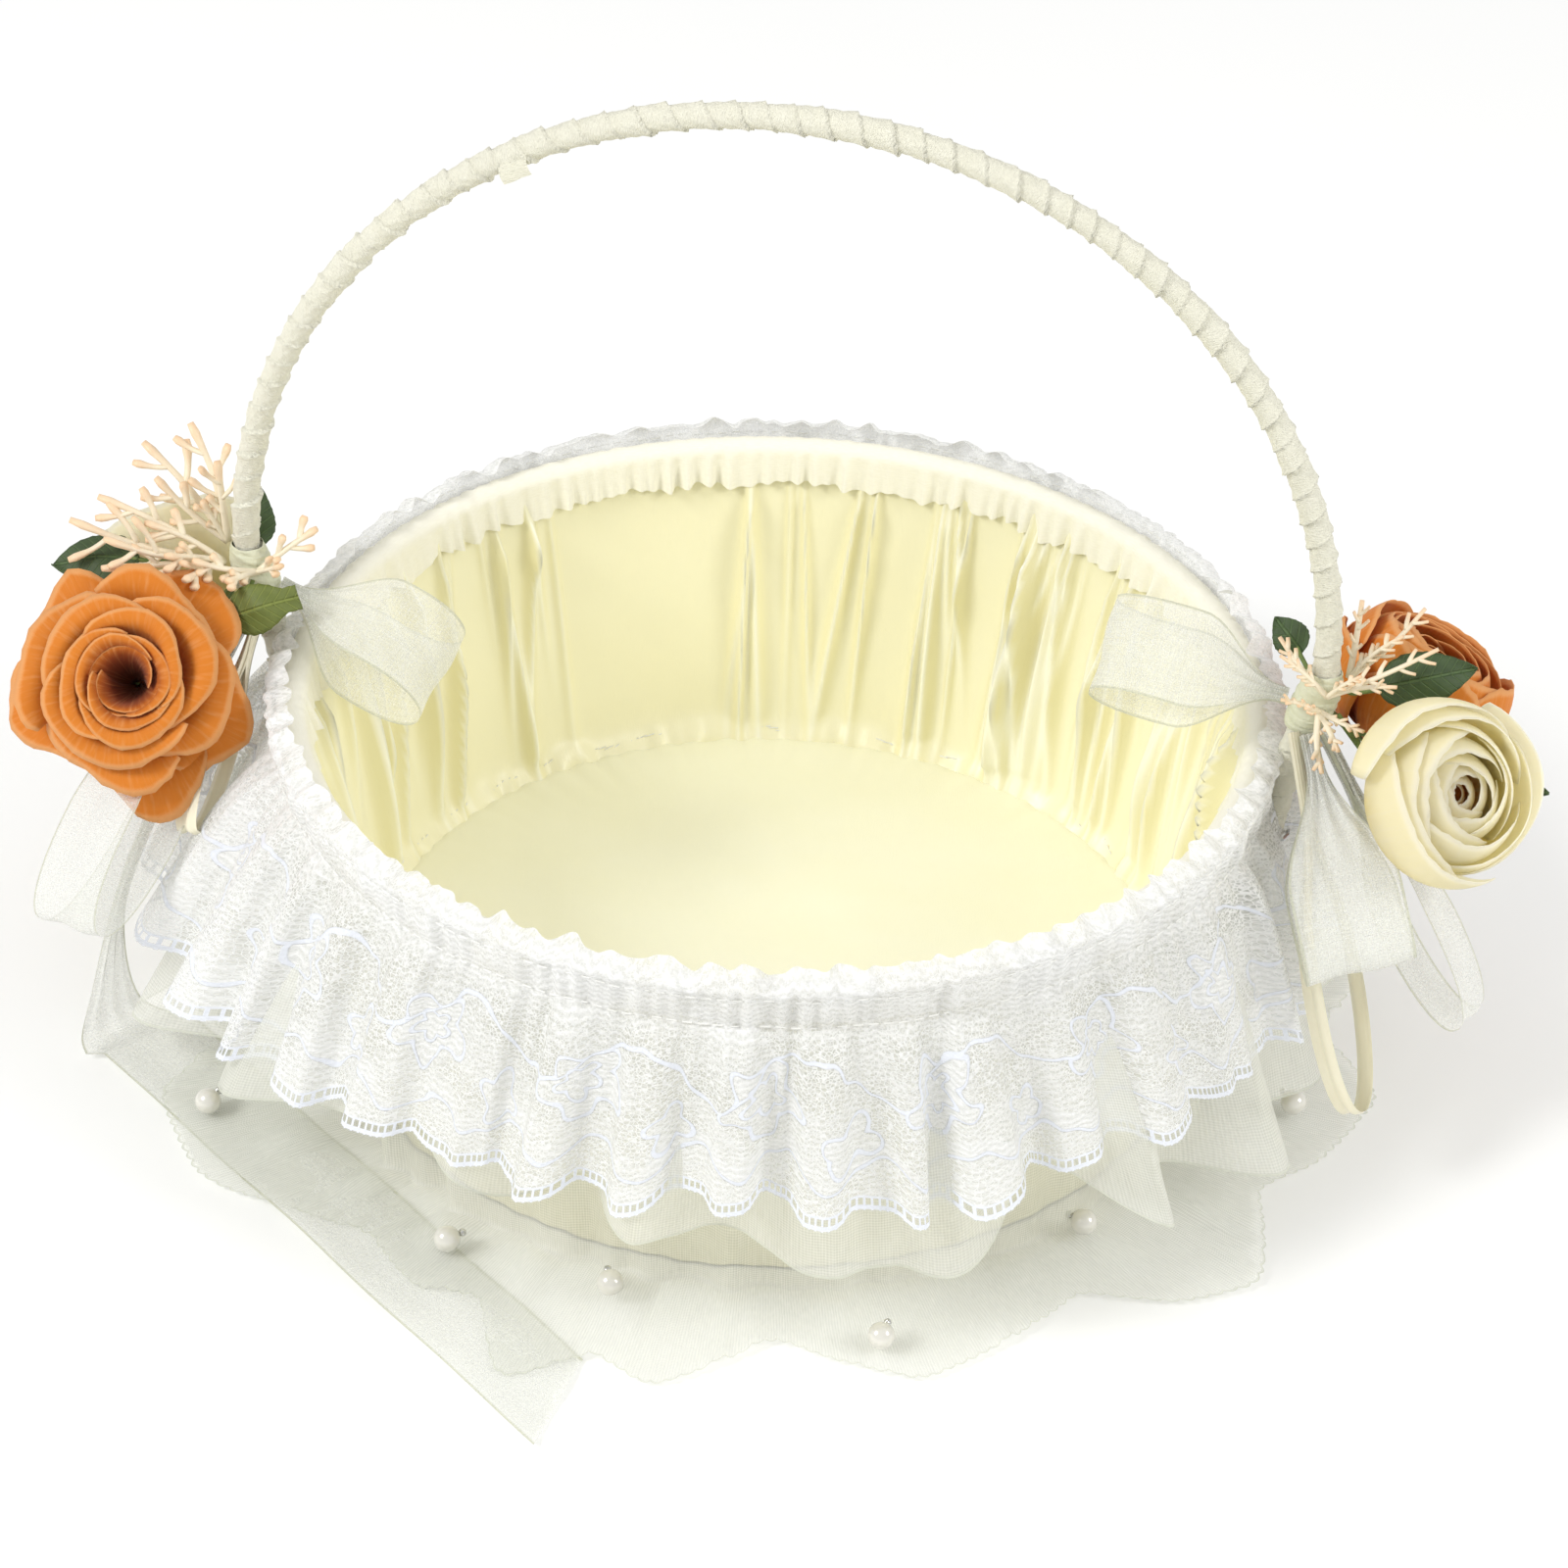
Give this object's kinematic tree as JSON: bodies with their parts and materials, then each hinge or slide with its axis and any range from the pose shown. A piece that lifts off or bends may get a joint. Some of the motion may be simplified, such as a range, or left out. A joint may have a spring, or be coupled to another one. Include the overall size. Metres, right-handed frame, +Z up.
{
  "type": "flower girl basket",
  "caption": "Round satin-lined basket with gathered lace and organza skirts, a fixed wrapped arch handle, sewn pearls and silk rose and ribbon clusters.",
  "frame": {"origin": "middle of the flat underside of the satin wall cover, on the ground", "axes": "+Z up; the handle stands in the XZ plane and its legs are at -X (left) and +X (right); -Y is the front"},
  "size_m": [0.3428, 0.3155, 0.2356],
  "materials": {
    "board": "matte",
    "steel": "satin",
    "satin": "satin",
    "foam": "matte",
    "lace": "matte",
    "organza": "satin",
    "cane": "satin",
    "crepe": "matte",
    "pearl": "gloss",
    "orange_silk": "matte",
    "ivory_silk": "matte",
    "calyx": "matte",
    "leaf": "matte",
    "twig": "satin",
    "tape": "matte"
  },
  "bodies": {
    "root": {"base_board": "board", "tub_wall": "board", "rim_hoop": "steel", "left_upper_staple": "steel", "left_lower_staple": "steel", "right_upper_staple": "steel", "right_lower_staple": "steel", "satin_wall_cover": "satin", "satin_wall_lining": "satin", "floor_pad_cover": "satin", "left_satin_loop": "satin", "right_satin_loop": "satin", "floor_pad_foam": "foam", "rim_band": "lace", "lace_ruffle": "lace", "organza_ruffle": "organza", "petal_ruffle": "organza", "left_organza_loop_upper": "organza", "left_organza_loop_lower": "organza", "left_organza_tail": "organza", "right_organza_loop_upper": "organza", "right_organza_loop_lower": "organza", "right_organza_side_loop": "organza", "handle_core": "cane", "handle_wrap": "crepe", "pearl_01": "pearl", "pearl_02": "pearl", "pearl_03": "pearl", "pearl_04": "pearl", "pearl_05": "pearl", "pearl_06": "pearl", "pearl_07": "pearl", "pearl_08": "pearl", "pearl_09": "pearl", "pearl_10": "pearl", "pearl_11": "pearl", "pearl_12": "pearl", "left_orange_rose": "orange_silk", "right_orange_rose": "orange_silk", "left_ivory_rose": "ivory_silk", "right_ivory_rose": "ivory_silk", "left_orange_rose_calyx": "calyx", "left_ivory_rose_calyx": "calyx", "right_orange_rose_calyx": "calyx", "right_ivory_rose_calyx": "calyx", "left_front_leaf": "leaf", "left_side_leaf": "leaf", "left_back_leaf": "leaf", "right_front_leaf": "leaf", "right_side_leaf": "leaf", "right_back_leaf": "leaf", "left_front_sprig": "twig", "left_side_sprig": "twig", "left_back_sprig": "twig", "right_front_sprig": "twig", "right_side_sprig": "twig", "right_back_sprig": "twig", "left_stem_tape": "tape", "right_stem_tape": "tape"}
  },
  "joints": []
}
